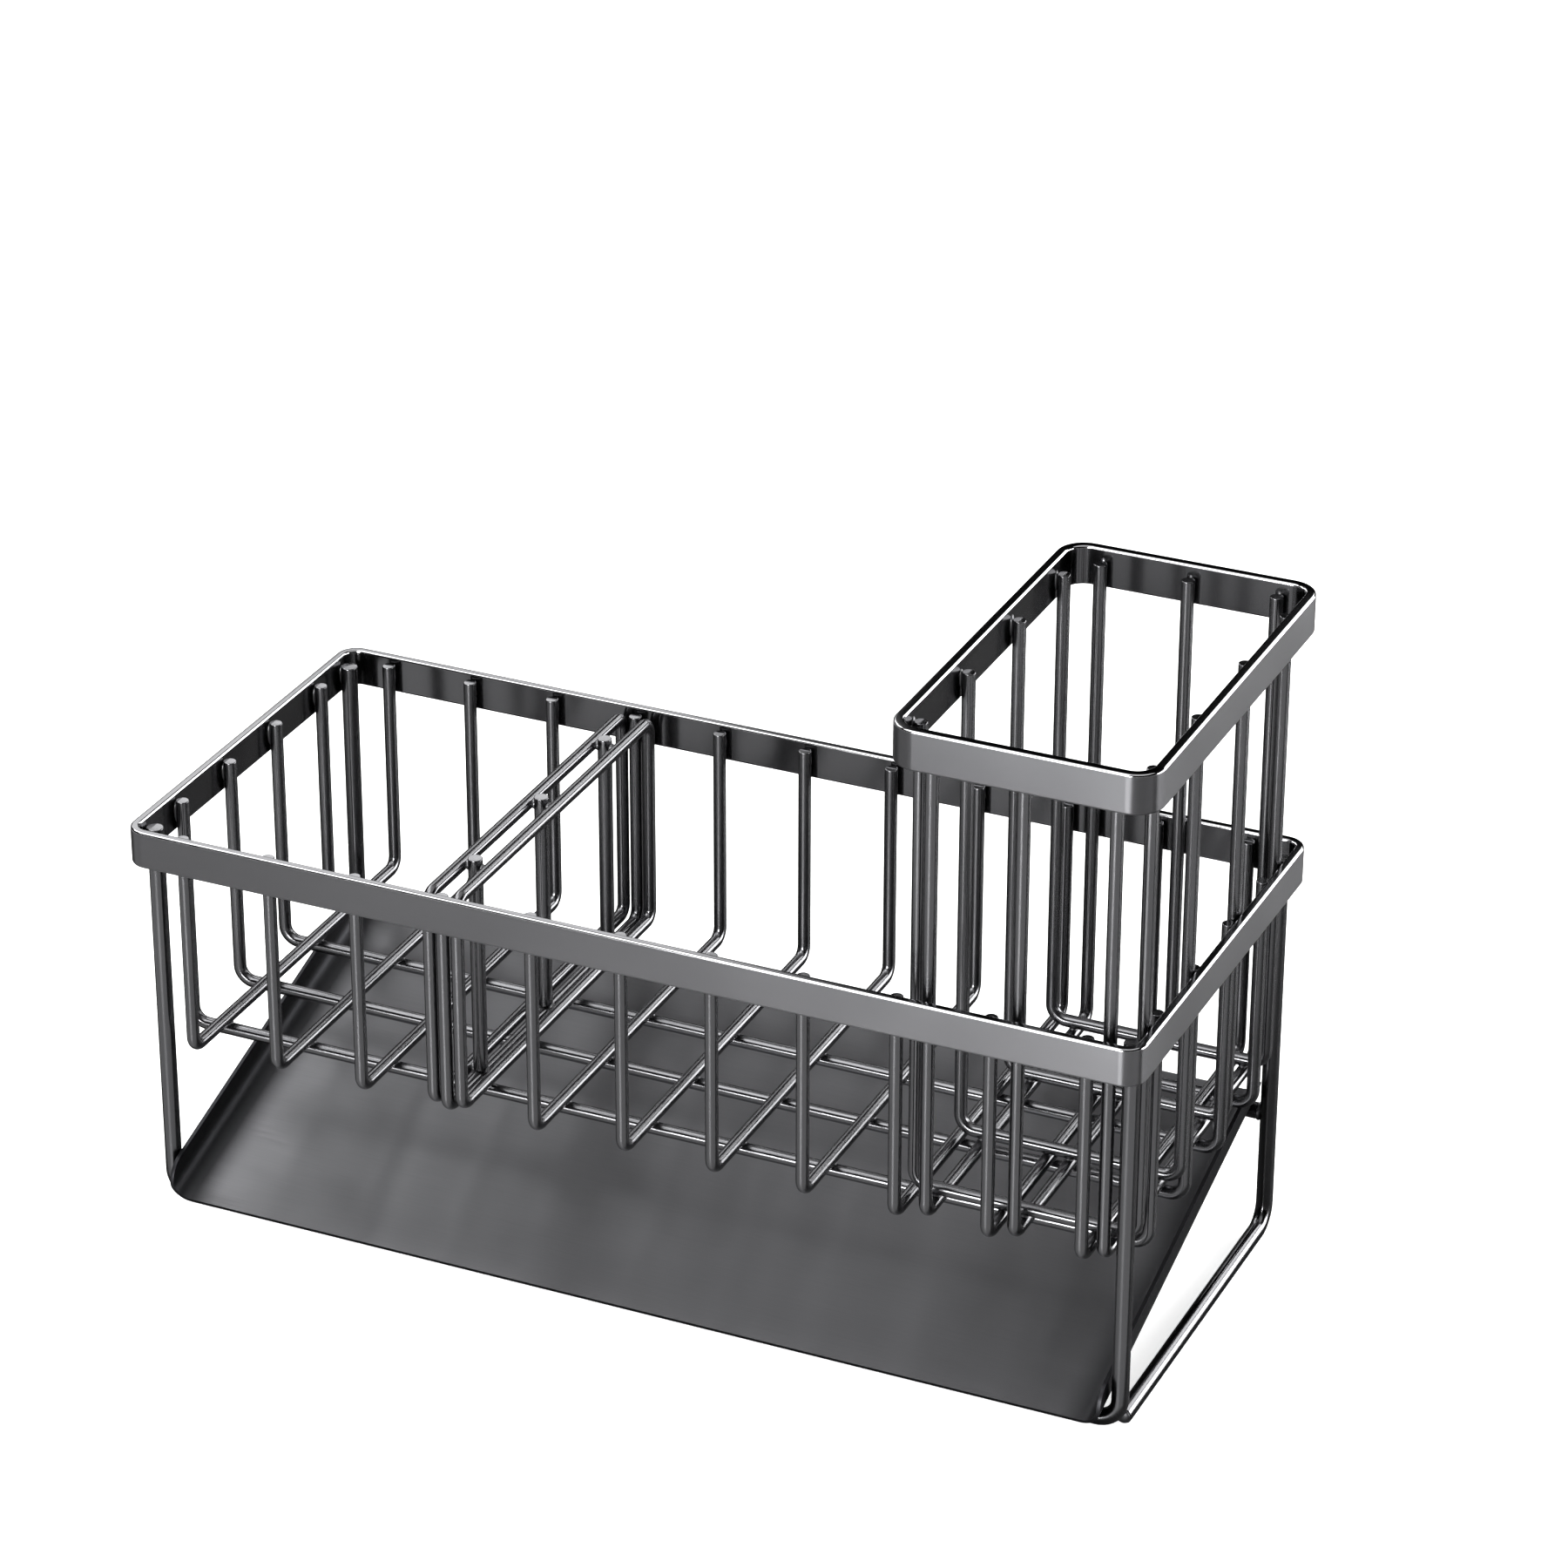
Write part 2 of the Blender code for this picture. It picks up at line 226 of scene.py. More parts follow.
def coated_steel(name, colour, deep, roughness, streaks, smear, smear_turn, grain, relief, cloud):
    """Polished stainless steel under a thin dark coat: fine lines along the stock, faint clouds.

    The roughness goes from the smoothest cloud to the dullest, and the streaks change it from line
    to line. The smear is how far light spreads, turned by a part of a full turn from the stock.
    The grain is the length and width of a line, and the relief is its depth.
    """
    material, tree, shader = new_finish(name)
    shader.inputs["Metallic"].default_value = 1.0
    shader.inputs["Anisotropic"].default_value = smear
    shader.inputs["Anisotropic Rotation"].default_value = smear_turn
    place = put(tree, "ShaderNodeTexCoord").outputs["Object"]
    stock = put(tree, "ShaderNodeAttribute", attribute_name="stock").outputs["Vector"]
    line_length, line_width = grain
    fine = put(tree, "ShaderNodeMapping", {
        "Vector": stock, "Scale": (1 / line_length, 1 / line_width, 1 / line_width)})
    lines = put(tree, "ShaderNodeTexNoise", {
        "Vector": fine.outputs[0], "Scale": 1.0, "Detail": LINE_DETAIL})
    clouds = put(tree, "ShaderNodeTexNoise", {
        "Vector": place, "Scale": 1 / cloud, "Detail": CLOUD_DETAIL})
    tone = put(tree, "ShaderNodeMix", {
        0: clouds.outputs[0], 6: linear(deep), 7: linear(colour)}, data_type="RGBA")
    worn = put(tree, "ShaderNodeMapRange", {
        "Value": clouds.outputs[0], "From Min": CLOUD_RANGE[0], "From Max": CLOUD_RANGE[1],
        "To Min": roughness[0], "To Max": roughness[1]})
    lined = put(tree, "ShaderNodeMapRange", {
        "Value": lines.outputs[0], "From Min": LINE_RANGE[0], "From Max": LINE_RANGE[1],
        "To Min": -streaks, "To Max": streaks})
    rough = put(tree, "ShaderNodeMath", {0: worn.outputs[0], 1: lined.outputs[0]}, operation="ADD")
    raised = put(tree, "ShaderNodeBump", {
        "Strength": 1.0, "Distance": relief, "Height": lines.outputs[0]})
    tree.links.new(tone.outputs[2], shader.inputs["Base Color"])
    tree.links.new(rough.outputs[0], shader.inputs["Roughness"])
    tree.links.new(raised.outputs[0], shader.inputs["Normal"])
    if smear:
        along = put(tree, "ShaderNodeAttribute", attribute_name="axis").outputs["Vector"]
        defined = put(tree, "ShaderNodeVectorMath", {0: along, 1: TANGENT_NUDGE})
        tree.links.new(defined.outputs[0], shader.inputs["Tangent"])
    return material


def smooth_where(material, mask, polish):
    """Lower a finish's roughness where the mask is one."""
    rough = material.node_tree.nodes["Principled BSDF"].inputs["Roughness"]
    smoother = put(material.node_tree, "ShaderNodeMix", {
        0: mask, 2: rough.links[0].from_socket, 3: polish})
    material.node_tree.links.new(smoother.outputs[0], rough)


def polish_and_highlight_strip(material):
    """Smooth a strip's inner face and top edge, with a painted highlight on that edge's rounding."""
    tree = material.node_tree
    coat = tree.nodes["Principled BSDF"].inputs["Base Color"]
    normal = put(tree, "ShaderNodeNewGeometry").outputs["Normal"]
    up = put(tree, "ShaderNodeSeparateXYZ", {0: normal}).outputs["Z"]
    edge = put(tree, "ShaderNodeMapRange", {
        "Value": up, "From Min": EDGE_UP[0], "From Max": EDGE_UP[1]}).outputs[0]
    not_flat = put(tree, "ShaderNodeMapRange", {
        "Value": up, "From Min": TOP_UP[0], "From Max": TOP_UP[1], "To Min": 1.0, "To Max": 0.0})
    # Painted highlight: a lighter colour where the top edge is rounded and faces up
    rounded = put(tree, "ShaderNodeMath", {0: edge, 1: not_flat.outputs[0]}, operation="MULTIPLY")
    painted_highlight = put(tree, "ShaderNodeMix", {
        0: rounded.outputs[0], 6: coat.links[0].from_socket, 7: linear(EDGE_HIGHLIGHT_PAINT)},
        data_type="RGBA")
    tree.links.new(painted_highlight.outputs[2], coat)
    stock = put(tree, "ShaderNodeAttribute", attribute_name="stock").outputs["Vector"]
    across = put(tree, "ShaderNodeSeparateXYZ", {0: stock}).outputs["Y"]
    inner = put(tree, "ShaderNodeMapRange", {
        "Value": across, "From Min": INNER_SIDE[0], "From Max": INNER_SIDE[1]}).outputs[0]
    smooth_where(material, inner, INNER_POLISH)
    smooth_where(material, edge, EDGE_POLISH)


def roll_rim(name, node, strip, inner_corner, finish):
    """Roll a strip to the ring that fills a node's box."""
    lowest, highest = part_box(node)
    inset = strip / 2
    left, right = lowest.x + inset, highest.x - inset
    front, back = lowest.y + inset, highest.y - inset
    level = (lowest.z + highest.z) / 2
    corners = [(right, back, level), (left, back, level), (left, front, level), (right, front, level)]
    return grow(name, bare_paths(name, [corners], closed=True), STRIP_TREE, {
        "Strip Height": highest.z - lowest.z, "Strip Thickness": strip,
        "Corner Radius": inner_corner + inset, "Edge Radius": STRIP_EDGE, "Finish": finish})


def fit(piece, body, slot, *nodes):
    """Let a piece stand for its solids and ride on their body. The slot is not used."""
    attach(piece, body)
    if nodes:
        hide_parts(*nodes)


STRIP_TREE = rolled_strip()
STRIP_STEEL = coated_steel("linished_gunmetal_strip", GUNMETAL, GUNMETAL_DEEP, **LINISHED)
polish_and_highlight_strip(STRIP_STEEL)
rim = roll_rim("basket_rim", "rim_band", RIM_STRIP, RIM_INNER_CORNER, STRIP_STEEL)
fit(rim, "basket", "gunmetal_strip", "rim_band")

# Ribs of the main basket
# Eleven stainless wires, each cut to length with a small burr-free edge, bent to a U and welded to
# the rim's inner face. The wire is polished around its girth, so light smears along it in stripes.
RIB_COUNT = 11
WIRE = 3.1 * MM
RIB_BEND = 3.0 * MM
WIRE_CUT_EDGE = 0.22 * MM
WIRE_BEND_FACETS = 10
WIRE_ROUND_FACETS = 28
CUT_POLISH = 0.12
# How far a normal points along the wire, from its round side onto its flat cut end
CUT_END_ALONG = (0.5, 0.9)


def bent_wire():
    """A tree that draws round wire along each path, with the same bend at every corner."""
    tree, given = new_tree("bent_wire", {
        "Wire Diameter": "Float", "Bend Radius": "Float", "Finish": "Material"})
    run = put(tree, "GeometryNodeMeshToCurve", {"Mesh": given["Geometry"]})
    bent = put(tree, "GeometryNodeFilletCurve", {
        "Curve": run.outputs[0], "Count": WIRE_BEND_FACETS, "Radius": given["Bend Radius"]},
        mode="POLY")
    half = put(tree, "ShaderNodeMath", {0: given["Wire Diameter"], 1: 0.5}, operation="MULTIPLY")
    round_bar = put(tree, "GeometryNodeCurvePrimitiveCircle", {
        "Resolution": WIRE_ROUND_FACETS, "Radius": half.outputs[0]})
    return sweep(tree, given, bent.outputs[0], round_bar.outputs[0])


def polish_cut_ends(material):
    """Smooth the flat ends of a wire, where the surface faces along it."""
    tree = material.node_tree
    along = put(tree, "ShaderNodeAttribute", attribute_name="axis").outputs["Vector"]
    normal = put(tree, "ShaderNodeNewGeometry").outputs["Normal"]
    facing = put(tree, "ShaderNodeVectorMath", {0: along, 1: normal}, operation="DOT_PRODUCT")
    either_end = put(tree, "ShaderNodeMath", {0: facing.outputs["Value"]}, operation="ABSOLUTE")
    ends = put(tree, "ShaderNodeMapRange", {
        "Value": either_end.outputs[0], "From Min": CUT_END_ALONG[0], "From Max": CUT_END_ALONG[1]})
    smooth_where(material, ends.outputs[0], CUT_POLISH)


def bend_wires(name, paths, diameter, bend, finish, closed=False):
    """Bend round wires along their paths, as one piece. A closed loop has no cut ends."""
    return grow(name, bare_paths(name, paths, closed), WIRE_TREE, {
        "Wire Diameter": diameter, "Bend Radius": bend, "Finish": finish},
        0.0 if closed else WIRE_CUT_EDGE)


def u_across_depth(node, radius):
    """The path of a U-shaped wire that runs from the front to the back of its box."""
    lowest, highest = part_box(node)
    x = (lowest.x + highest.x) / 2
    front, back, floor = lowest.y + radius, highest.y - radius, lowest.z + radius
    return [(x, front, highest.z), (x, front, floor), (x, back, floor), (x, back, highest.z)]


WIRE_TREE = bent_wire()
WIRE_STEEL = coated_steel(
    "polished_gunmetal_wire", GUNMETAL, GUNMETAL_DEEP, roughness=(0.20, 0.22), streaks=0.005,
    smear=0.95, smear_turn=0.0, grain=(9 * MM, 0.15 * MM), relief=0.0002 * MM, cloud=30 * MM)
polish_cut_ends(WIRE_STEEL)

rib_nodes = [f"basket_rib_{number:02d}" for number in range(1, RIB_COUNT + 1)]
rib_paths = [u_across_depth(node, WIRE / 2) for node in rib_nodes]
ribs = bend_wires("basket_ribs", rib_paths, WIRE, RIB_BEND, WIRE_STEEL)
fit(ribs, "basket", "gunmetal_wire", *rib_nodes)

# Cross wires of the main basket
# Four longer wires of the same stock. They run under the ribs, turn up at both ends and are
# welded to the ends of the rim.
CROSS_COUNT = 4
CROSS_BEND = 3.8 * MM


def u_across_length(node, radius):
    """The path of a U-shaped wire that runs from the left to the right of its box."""
    lowest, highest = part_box(node)
    y = (lowest.y + highest.y) / 2
    left, right, floor = lowest.x + radius, highest.x - radius, lowest.z + radius
    return [(left, y, highest.z), (left, y, floor), (right, y, floor), (right, y, highest.z)]


cross_nodes = [f"basket_cross_wire_{number}" for number in range(1, CROSS_COUNT + 1)]
cross_paths = [u_across_length(node, WIRE / 2) for node in cross_nodes]
cross_wires = bend_wires("basket_cross_wires", cross_paths, WIRE, CROSS_BEND, WIRE_STEEL)
fit(cross_wires, "basket", "gunmetal_wire", *cross_nodes)

# Frame under the basket
# Thicker 4 mm wire: a U for the front legs and the front foot rail, two bent wires for the back
# legs and the side rails, and a straight rail for the tray's back edge. It is polished a little
# finer than the ribs, which makes its bright stripes sharper.
FRAME_WIRE = 4.0 * MM
FRAME_BEND = 5.5 * MM
FRAME_STEEL = coated_steel(
    "polished_gunmetal_frame_wire", GUNMETAL, GUNMETAL_DEEP, roughness=(0.18, 0.20), streaks=0.005,
    smear=0.9, smear_turn=0.0, grain=(9 * MM, 0.18 * MM), relief=0.0002 * MM, cloud=30 * MM)


def leg_and_rail(node, radius):
    """The path of a back leg that bends into its side rail."""
    lowest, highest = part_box(node)
    x = (lowest.x + highest.x) / 2
    back, floor = highest.y - radius, lowest.z + radius
    return [(x, back, highest.z), (x, back, floor), (x, lowest.y, floor)]


def straight_rail(node, radius):
    """The path of a straight wire along the length."""
    lowest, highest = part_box(node)
    level = lowest.z + radius
    y = (lowest.y + highest.y) / 2
    return [(lowest.x, y, level), (highest.x, y, level)]


for name, path_of, nodes in (
        ("front_frame_wire", u_across_length, ["front_frame"]),
        ("side_frame_wires", leg_and_rail, ["side_frame_left", "side_frame_right"]),
        ("rear_rail_wire", straight_rail, ["rear_rail"])):
    frame_paths = [path_of(node, FRAME_WIRE / 2) for node in nodes]
    frame_wire = bend_wires(name, frame_paths, FRAME_WIRE, FRAME_BEND, FRAME_STEEL)
    fit(frame_wire, "basket", "gunmetal_frame_wire", *nodes)

# Welds of the main basket
# Resistance welds: a small flattened nugget of molten steel where each wire meets the rim, where
# ribs cross the cross wires, and a bead at each joint of the frame. They are coated with the rest,
# and look duller, because molten steel sets with an uneven skin.
NUGGET_FACETS = 16
NUGGET_SPREAD = 0.12
NUGGET_SEED = 7
NUGGET_FLATNESS = 0.5
RIM_NUGGET = (0.95 * MM, 0.95 * MM, 2.6 * MM)
CROSSING_NUGGET = (1.0 * MM, 1.0 * MM, 0.5 * MM)
RAIL_BEAD = (1.7 * MM, 0.7 * MM, 1.7 * MM)
REAR_BEAD = (0.9 * MM, 2.25 * MM, 2.25 * MM)
AXIS_X = 0
AXIS_Y = 1


def weld_nuggets():
    """A tree that sets a flattened nugget on each point, no two quite alike."""
    tree, given = new_tree("weld_nuggets", {
        "Nugget Size": "Vector", "Spread": "Float", "Seed": "Int", "Finish": "Material"})
    nugget = put(tree, "GeometryNodeMeshUVSphere", {
        "Segments": NUGGET_FACETS, "Rings": NUGGET_FACETS // 2, "Radius": 1.0})
    smallest = put(tree, "ShaderNodeMath", {0: 1.0, 1: given["Spread"]}, operation="SUBTRACT")
    largest = put(tree, "ShaderNodeMath", {0: 1.0, 1: given["Spread"]}, operation="ADD")
    share = put(tree, "FunctionNodeRandomValue", {
        2: smallest.outputs[0], 3: largest.outputs[0], "Seed": given["Seed"]}, data_type="FLOAT")
    size = put(tree, "ShaderNodeVectorMath", {
        0: given["Nugget Size"], "Scale": share.outputs[1]}, operation="SCALE")
    spots = put(tree, "GeometryNodeInstanceOnPoints", {
        "Points": given["Geometry"], "Instance": nugget.outputs[0], "Scale": size.outputs[0]})
    smooth = put(tree, "GeometryNodeSetShadeSmooth", {"Geometry": spots.outputs[0]})
    return finish_tree(tree, given, smooth.outputs[0])


def weld(name, body, places, size):
    """Weld nuggets at a list of places, as one piece."""
    nuggets = grow(name, bare_paths(name, [[place] for place in places]), WELD_TREE, {
        "Nugget Size": size, "Spread": NUGGET_SPREAD, "Seed": NUGGET_SEED, "Finish": WELD_STEEL})
    fit(nuggets, body, "gunmetal_wire")


def across_gap(radii, axis):
    """A nugget's size when the gap that it fills lies along one axis."""
    size = list(radii)
    size[axis] *= NUGGET_FLATNESS
    return tuple(size)


def weld_to_rim(name, body, node, strip, rows, axis):
    """Weld wires to the two inner faces of a rim that lie across one axis, one pair for each row."""
    lowest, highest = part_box(node)
    level = (lowest.z + highest.z) / 2
    places = []
    for row in rows:
        for face in (lowest[axis] + strip, highest[axis] - strip):
            places.append((face, row, level) if axis == AXIS_X else (row, face, level))
    weld(name, body, places, across_gap(RIM_NUGGET, axis))


def weld_crossings(name, body, ribs_run, crosses_run):
    """Weld each rib to each cross wire, midway between the levels on which they run."""
    level = (ribs_run[0][1][2] + crosses_run[0][1][2]) / 2
    places = [(rib[0][0], cross[0][1], level) for rib in ribs_run for cross in crosses_run]
    weld(name, body, places, CROSSING_NUGGET)


WELD_TREE = weld_nuggets()
WELD_STEEL = coated_steel(
    "coated_weld_bead", GUNMETAL, GUNMETAL_DEEP, roughness=(0.30, 0.40), streaks=0.02,
    smear=0.0, smear_turn=0.0, grain=(1 * MM, 1 * MM), relief=0.01 * MM, cloud=3 * MM)

rib_rows = [path[0][0] for path in rib_paths]
weld_to_rim("rib_rim_welds", "basket", "rim_band", RIM_STRIP, rib_rows, AXIS_Y)
front_low, front_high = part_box("front_frame")
front_y, front_z = (front_low.y + front_high.y) / 2, front_low.z + FRAME_WIRE / 2
end_rows = [path[0][1] for path in cross_paths] + [front_y, -front_y]
weld_to_rim("end_rim_welds", "basket", "rim_band", RIM_STRIP, end_rows, AXIS_X)
weld_crossings("crossing_welds", "basket", rib_paths, cross_paths)
side_low, side_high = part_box("side_frame_right")
side_x, side_z = (side_low.x + side_high.x) / 2, side_low.z + FRAME_WIRE / 2
side_spots = [(side * side_x, side_low.y, side_z) for side in (-1, 1)]
weld("side_rail_beads", "basket", side_spots, RAIL_BEAD)
rear_low, rear_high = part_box("rear_rail")
rear_y, rear_z = (rear_low.y + rear_high.y) / 2, (rear_low.z + rear_high.z) / 2
rear_spots = [(side * rear_high.x, rear_y, rear_z) for side in (-1, 1)]
weld("rear_rail_beads", "basket", rear_spots, REAR_BEAD)

# Drip tray
# One sheet of 0.9 mm stainless steel with two low side walls bent up from it. Its front edge is cut
# straight and the walls' front corners are cut round. It is brushed across under its dark coat,
# which leaves it satin, so it mirrors nothing sharply.
TRAY_SHEET = 0.9 * MM
TRAY_WALL = 8.6 * MM
TRAY_BEND = 5.0 * MM
TRAY_CORNER = 6.0 * MM
TRAY_LIP = 4.7 * MM
TRAY_TAIL = 3.0 * MM
TRAY_HEADROOM = 0.4 * MM
TRAY_GAP = 0.25 * MM
TRAY_BEND_FACETS = 14
TRAY_WALL_FACETS = 18
TRAY_CUT_EDGE = 0.18 * MM
TRAY_FACE_WEIGHT = 50
SATIN_GUNMETAL = "606062"
SATIN_GUNMETAL_DEEP = "59595b"
SATIN_ROUGHNESS = (0.40, 0.50)
# Real brush lines are about 0.1 mm wide, and are drawn as coarse as they need to show
SATIN_GRAIN = (14 * MM, 0.25 * MM)
SATIN_RELIEF = 0.004 * MM
SATIN_CLOUD = 35 * MM
SATIN_LINE_DETAIL = 4.0
SATIN_CLOUD_DETAIL = 3.0
# Painted shade: the dark colour given to the sheet near its walls and on its cut front edge
WALL_PAINTED_SHADE = "2a2a2c"
WALL_SHADE_WIDTH = 12 * MM
# The normal's reach along Y where the painted shade on the cut front edge begins, and where it is
# full
FRONT_SHADE_FACING = (-0.5, -0.8)


def tray_half(half):
    """Right half of the tray's section, from the middle out: across, underside, and top face."""
    under = [(0, 0)]
    over = [(0, TRAY_SHEET)]
    for step in range(TRAY_BEND_FACETS + 1):
        angle = math.pi / 2 * step / TRAY_BEND_FACETS
        for points, radius in ((under, TRAY_BEND), (over, TRAY_BEND - TRAY_SHEET)):
            points.append((half - TRAY_BEND + radius * math.sin(angle),
                           TRAY_BEND - radius * math.cos(angle)))
    for step in range(1, TRAY_WALL_FACETS + 1):
        share = math.sin(math.pi / 2 * step / TRAY_WALL_FACETS)
        height = TRAY_BEND + (TRAY_WALL - TRAY_BEND) * share
        under.append((half, height))
        over.append((half - TRAY_SHEET, height))
    return under, over


def tray_mesh(half, tail, ceiling, slope):
    """The sheet in its own frame: floor, bends and walls, with round front corners."""
    mesh = bpy.data.meshes.new("drip_tray_sheet")
    shape = bmesh.new()
    halves = tray_half(half)
    levels = [height for _, height in halves[0]]
    sides = []
    for points in halves:
        mirrored = [(-x, height) for x, height in reversed(points[1:])]
        rows = []
        for (x, height), level in zip(mirrored + points, levels[:0:-1] + levels):
            rise = max(0, level - (TRAY_WALL - TRAY_CORNER))
            near = TRAY_CORNER - math.sqrt(TRAY_CORNER ** 2 - rise ** 2) - TRAY_LIP
            far = min(tail, (ceiling - level * math.cos(slope)) / math.sin(slope))
            rows.append((shape.verts.new((x, near, height)), shape.verts.new((x, far, height))))
        sides.append(rows)
    under, over = sides
    for index in range(len(under) - 1):
        (front, back), (next_front, next_back) = under[index], under[index + 1]
        (top_front, top_back), (next_top_front, next_top_back) = over[index], over[index + 1]
        shape.faces.new((front, back, next_back, next_front))
        shape.faces.new((top_front, next_top_front, next_top_back, top_back))
        shape.faces.new((front, next_front, next_top_front, top_front))
        shape.faces.new((back, top_back, next_top_back, next_back))
    for end in (0, -1):
        shape.faces.new((under[end][0], under[end][1], over[end][1], over[end][0]))
    bmesh.ops.recalc_face_normals(shape, faces=shape.faces[:])
    shape.to_mesh(mesh)
    shape.free()
    mesh.shade_smooth()
    return mesh


def satin_sheet(name, wall_x):
    """Satin stainless sheet: faint brush lines across it, painted shade by its walls and front edge.
    """
    material, tree, shader = new_finish(name)
    shader.inputs["Metallic"].default_value = 1.0
    place = put(tree, "ShaderNodeTexCoord").outputs["Object"]
    line_length, line_width = SATIN_GRAIN
    stretch = put(tree, "ShaderNodeMapping", {
        "Vector": place, "Scale": (1 / line_length, 1 / line_width, 1 / line_width)})
    lines = put(tree, "ShaderNodeTexNoise", {
        "Vector": stretch.outputs[0], "Scale": 1.0, "Detail": SATIN_LINE_DETAIL})
    clouds = put(tree, "ShaderNodeTexNoise", {
        "Vector": place, "Scale": 1 / SATIN_CLOUD, "Detail": SATIN_CLOUD_DETAIL})
    tone = put(tree, "ShaderNodeMix", {
        0: clouds.outputs[0], 6: linear(SATIN_GUNMETAL_DEEP), 7: linear(SATIN_GUNMETAL)},
        data_type="RGBA")
    across = put(tree, "ShaderNodeSeparateXYZ", {0: place}).outputs["X"]
    from_middle_line = put(tree, "ShaderNodeMath", {0: across}, operation="ABSOLUTE")
    wall_painted_shade = put(tree, "ShaderNodeMapRange", {
        "Value": from_middle_line.outputs[0], "From Min": wall_x - WALL_SHADE_WIDTH,
        "From Max": wall_x - TRAY_SHEET}, interpolation_type="SMOOTHSTEP")
    normal = put(tree, "ShaderNodeNewGeometry").outputs["Normal"]
    along_y = put(tree, "ShaderNodeSeparateXYZ", {0: normal}).outputs["Y"]
    front_painted_shade = put(tree, "ShaderNodeMapRange", {
        "Value": along_y, "From Min": FRONT_SHADE_FACING[0], "From Max": FRONT_SHADE_FACING[1]})
    # Painted shade: the stronger of the wall and front-edge masks mixes in the dark colour
    dark = put(tree, "ShaderNodeMath", {
        0: wall_painted_shade.outputs[0], 1: front_painted_shade.outputs[0]}, operation="MAXIMUM")
    shaded = put(tree, "ShaderNodeMix", {
        0: dark.outputs[0], 6: tone.outputs[2], 7: linear(WALL_PAINTED_SHADE)}, data_type="RGBA")
    rough = put(tree, "ShaderNodeMapRange", {
        "Value": lines.outputs[0], "From Min": LINE_RANGE[0], "From Max": LINE_RANGE[1],
        "To Min": SATIN_ROUGHNESS[0], "To Max": SATIN_ROUGHNESS[1]})
    raised = put(tree, "ShaderNodeBump", {
        "Strength": 1.0, "Distance": SATIN_RELIEF, "Height": lines.outputs[0]})
    tree.links.new(shaded.outputs[2], shader.inputs["Base Color"])
    tree.links.new(rough.outputs[0], shader.inputs["Roughness"])
    tree.links.new(raised.outputs[0], shader.inputs["Normal"])
    return material


slope = math.atan2(rear_z - front_z, rear_y - front_y)
seat = FRAME_WIRE / 2 + TRAY_GAP
seat_z = front_z + seat * math.cos(slope)
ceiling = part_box("basket_cross_wire_1")[0].z - TRAY_HEADROOM - seat_z
tail = (rear_y - front_y) / math.cos(slope) + TRAY_TAIL
wall_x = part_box("drip_tray")[1].x
sheet = tray_mesh(wall_x, tail, ceiling, slope)
sheet.transform(Quaternion((1, 0, 0), slope).to_matrix().to_4x4())
for point in sheet.vertices:
    point.co += Vector((0, front_y - seat * math.sin(slope), seat_z))
tray = add_object("drip_tray_sheet", sheet)
make_plain(tray, TRAY_CUT_EDGE, TRAY_FACE_WEIGHT)
tray.data.materials.append(satin_sheet("satin_gunmetal_sheet", wall_x))
fit(tray, "drip_tray", "gunmetal_sheet", "drip_tray")

# Divider
# Two closed loops of the thin wire, butt-welded and dressed, with three short posts of thicker bar
# welded between them. It straddles one rib of the basket and lifts out.
DIVIDER_BEND = 2.8 * MM
POST_COUNT = 3
POST_WIRE = 3.5 * MM
POST_BEAD = (1.0 * MM, 1.0 * MM, 1.2 * MM)


def loop_across_depth(node, radius):
    """The path of a closed loop in the plane of the depth."""
    lowest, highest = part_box(node)
    x = (lowest.x + highest.x) / 2
    front, back = lowest.y + radius, highest.y - radius
    floor, top = lowest.z + radius, highest.z - radius
    return [(x, back, floor), (x, back, top), (x, front, top), (x, front, floor)]


def upright_post(node):
    """The path of a post, from its top to its foot."""
    lowest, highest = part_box(node)
    x, y = (lowest.x + highest.x) / 2, (lowest.y + highest.y) / 2
    return [(x, y, highest.z), (x, y, lowest.z)]


loop_nodes = ["divider_loop_left", "divider_loop_right"]
loop_paths = [loop_across_depth(node, WIRE / 2) for node in loop_nodes]
loops = bend_wires("divider_loops", loop_paths, WIRE, DIVIDER_BEND, WIRE_STEEL, closed=True)
fit(loops, "divider", "gunmetal_wire", *loop_nodes)

post_nodes = [f"divider_post_{number}" for number in range(1, POST_COUNT + 1)]
post_paths = [upright_post(node) for node in post_nodes]
posts = bend_wires("divider_posts", post_paths, POST_WIRE, 0.0, WIRE_STEEL)
fit(posts, "divider", "gunmetal_wire", *post_nodes)

post_spots = [(post[0][0] + side * POST_WIRE / 2, post[0][1], loop_paths[0][corner][2])
              for post in post_paths for corner in (0, 1) for side in (-1, 1)]
weld("post_welds", "divider", post_spots, POST_BEAD)

# Brush basket
# A taller, narrower basket made like the main one: a heavier strip ring, three ribs from the front
# to the back and four cross wires over them. It stands in the right end and lifts out. Its rim has
# a darker copy of the strip's finish, which is painted shade.
BRUSH_RIB_COUNT = 3
BRUSH_CROSS_COUNT = 4
BRUSH_STRIP = 2.5 * MM
BRUSH_INNER_CORNER = 4.3 * MM
# Painted shade: a darker copy of the strip colours, for the brush basket's rim
BRUSH_SHADED_GUNMETAL = "606062"
BRUSH_SHADED_GUNMETAL_DEEP = "58585a"

BRUSH_SHADED_STEEL = coated_steel(
    "linished_gunmetal_brush_strip_painted_shade", BRUSH_SHADED_GUNMETAL, BRUSH_SHADED_GUNMETAL_DEEP, **LINISHED)
polish_and_highlight_strip(BRUSH_SHADED_STEEL)
brush_rim = roll_rim("brush_rim", "brush_rim_band", BRUSH_STRIP, BRUSH_INNER_CORNER, BRUSH_SHADED_STEEL)
fit(brush_rim, "brush_basket", "gunmetal_strip", "brush_rim_band")

